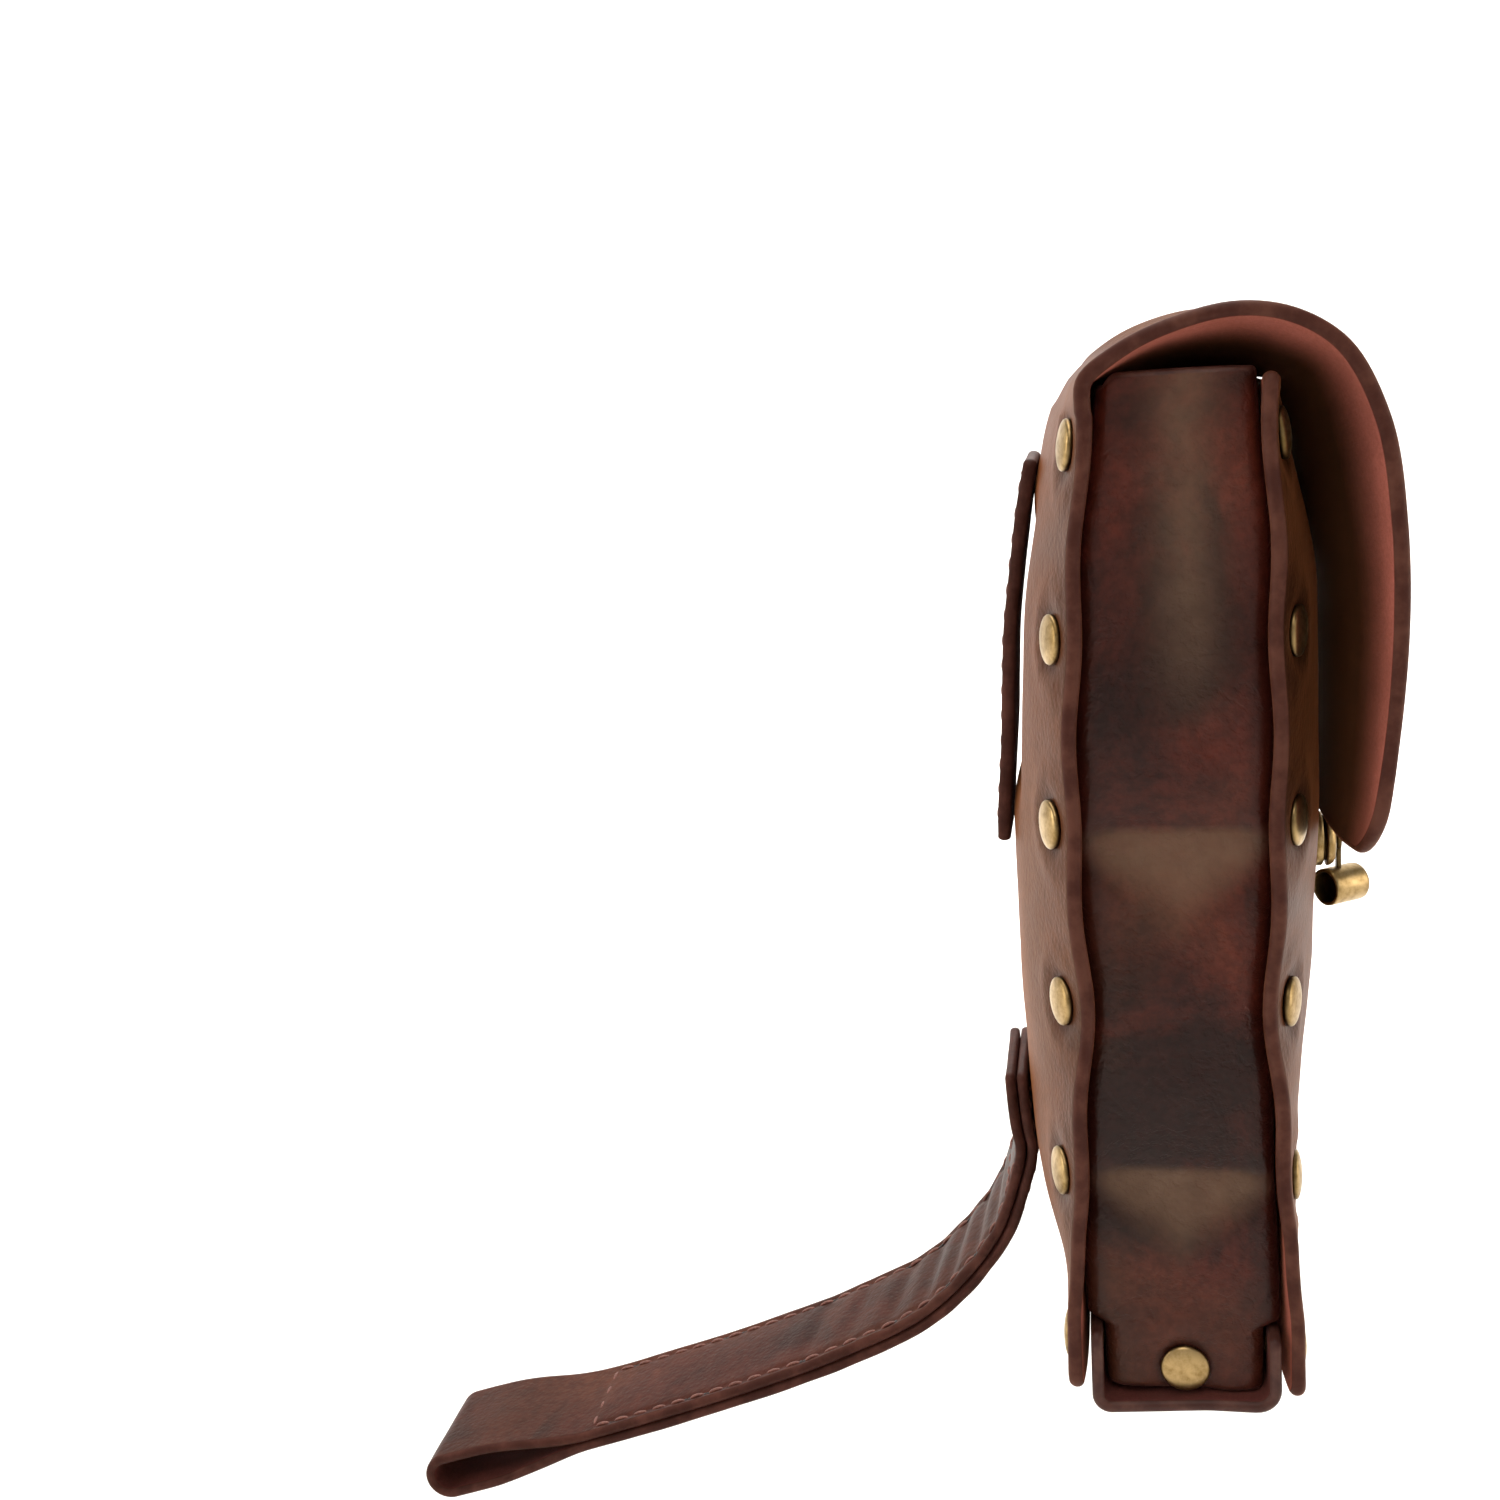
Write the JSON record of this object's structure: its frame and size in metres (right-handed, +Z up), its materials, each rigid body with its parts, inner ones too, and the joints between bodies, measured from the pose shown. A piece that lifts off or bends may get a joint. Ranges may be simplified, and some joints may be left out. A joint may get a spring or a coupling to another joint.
{
  "type": "leather belt pouch",
  "caption": "Tall leather belt bag with a long arched flap, riveted gussets, a belt loop and a looped leg strap behind, and a brass stud with a hanging barrel clasp.",
  "frame": {"origin": "middle of the slot between the belt loop and the back panel, where the belt runs", "axes": "+Z up, +X along the belt to the bag's right-hand gusset, -Y towards the flap's front"},
  "size_m": [0.1134, 0.2095, 0.2561],
  "materials": {
    "panel_leather": "dark red-brown waxed leather, semi-gloss, with painted edges and a suede inner side",
    "gusset_leather": "thinner oxblood-brown leather with olive-grey sheen and soft creases",
    "strap_leather": "brown strap leather with stitched, bevelled and painted edges",
    "antique_brass": "antique brass, polished on the domes and darkened round the rims"
  },
  "bodies": {
    "pouch": {"back_flap": "panel_leather", "front_panel": "panel_leather", "gusset_left": "gusset_leather", "gusset_right": "gusset_leather", "bottom_tray": "gusset_leather", "belt_loop": "strap_leather", "leg_strap": "strap_leather", "clasp_stud": "antique_brass", "rivet_back_left_1": "antique_brass", "rivet_back_left_2": "antique_brass", "rivet_back_left_3": "antique_brass", "rivet_back_left_4": "antique_brass", "rivet_back_left_5": "antique_brass", "rivet_back_left_6": "antique_brass", "rivet_back_right_1": "antique_brass", "rivet_back_right_2": "antique_brass", "rivet_back_right_3": "antique_brass", "rivet_back_right_4": "antique_brass", "rivet_back_right_5": "antique_brass", "rivet_back_right_6": "antique_brass", "rivet_front_left_1": "antique_brass", "rivet_front_left_2": "antique_brass", "rivet_front_left_3": "antique_brass", "rivet_front_left_4": "antique_brass", "rivet_front_left_5": "antique_brass", "rivet_front_left_6": "antique_brass", "rivet_front_right_1": "antique_brass", "rivet_front_right_2": "antique_brass", "rivet_front_right_3": "antique_brass", "rivet_front_right_4": "antique_brass", "rivet_front_right_5": "antique_brass", "rivet_front_right_6": "antique_brass", "rivet_back_base_left": "antique_brass", "rivet_back_base_right": "antique_brass", "rivet_front_base_left": "antique_brass", "rivet_front_base_right": "antique_brass", "rivet_gusset_left": "antique_brass", "rivet_gusset_right": "antique_brass"},
    "clasp": {"clasp_lever": "antique_brass"}
  },
  "joints": [
    {"name": "clasp_turn", "type": "hinge", "parent": "pouch", "child": "clasp", "pos_m": [0, -0.0596, -0.0406], "axis": [0, 1, 0], "range_deg": [-75, 75]}
  ]
}
